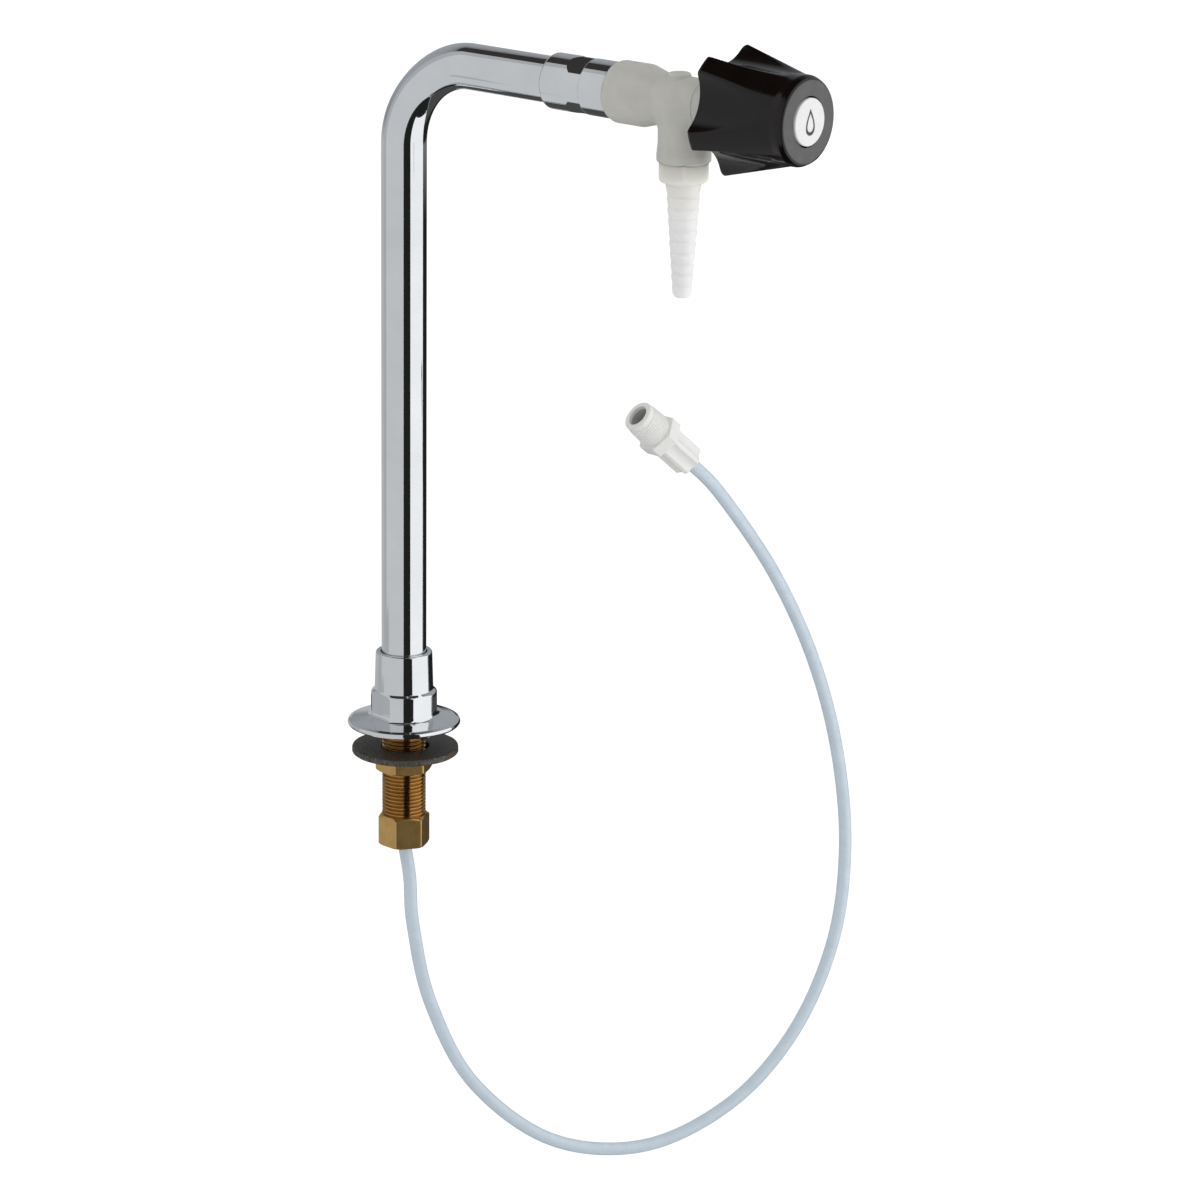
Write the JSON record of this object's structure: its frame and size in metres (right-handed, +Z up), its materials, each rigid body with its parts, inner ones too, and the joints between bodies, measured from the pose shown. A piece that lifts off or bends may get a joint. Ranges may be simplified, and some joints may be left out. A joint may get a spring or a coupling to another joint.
{
  "type": "laboratory_gooseneck_tap",
  "caption": "Deck-mounted laboratory tap: chromed L-shaped pipe, white plastic valve with black lobed knob, serrated hose nozzle, brass shank and a loop of supply tube with connector",
  "frame": {"origin": "centre of the flange's underside, on the riser's axis, where the tap sits on the deck", "axes": "+Z up along the riser, +X along the arm towards the knob"},
  "size_m": [0.2599, 0.2445, 0.5883],
  "materials": {
    "chrome_casting": "polished",
    "chrome_pipe": "polished",
    "brass": "machined",
    "dark_steel": "blackened",
    "bright_steel": "bright",
    "natural_plastic": "satin",
    "connector_plastic": "satin",
    "white_plastic": "gloss",
    "black_plastic": "gloss",
    "tube_plastic": "translucent",
    "seal_rubber": "matte"
  },
  "bodies": {
    "tap": {"deck_flange": "chrome_casting", "shank": "brass", "gland_fitting": "brass", "gland_sleeve": "natural_plastic", "gooseneck_pipe": "chrome_pipe", "riser_tube": "tube_plastic", "pipe_coupling": "chrome_casting", "coupling_seal": "seal_rubber", "valve_body": "natural_plastic", "bonnet": "natural_plastic", "bonnet_ring": "seal_rubber", "stem_ring": "seal_rubber", "nozzle": "natural_plastic", "nozzle_ring": "seal_rubber", "supply_tube": "tube_plastic", "connector_body": "connector_plastic", "connector_nut": "connector_plastic", "connector_ferrule": "connector_plastic"},
    "valve_plunger": {"plunger": "natural_plastic", "seat_washer": "seal_rubber"},
    "handle": {"stem": "natural_plastic", "knob": "black_plastic", "knob_screw": "bright_steel", "index_button": "white_plastic"},
    "clamp": {"deck_washer": "dark_steel"},
    "clamp_nut": {"lock_nut": "brass"}
  },
  "joints": [
    {"name": "plunger_travel", "type": "slide", "parent": "tap", "child": "valve_plunger", "axis": [1, 0, 0], "range_m": [0, 0.003]},
    {"name": "knob_turn", "type": "hinge", "parent": "valve_plunger", "child": "handle", "pos_m": [0.21, 0, 0.323], "axis": [1, 0, 0], "range_deg": [0, 540]},
    {"name": "clamp_travel", "type": "slide", "parent": "tap", "child": "clamp", "axis": [0, 0, 1], "range_m": [-0.01995, 0.00726]},
    {"name": "lock_nut_turn", "type": "hinge", "parent": "clamp", "child": "clamp_nut", "pos_m": [0, 0, -0.018], "axis": [0, 0, 1], "range_deg": [-3960, 1440]}
  ],
  "couplings": [
    {"joint": "plunger_travel", "follows": "knob_turn", "m_per_rad": 0.00031831},
    {"joint": "clamp_travel", "follows": "lock_nut_turn", "m_per_rad": 0.00028871}
  ]
}
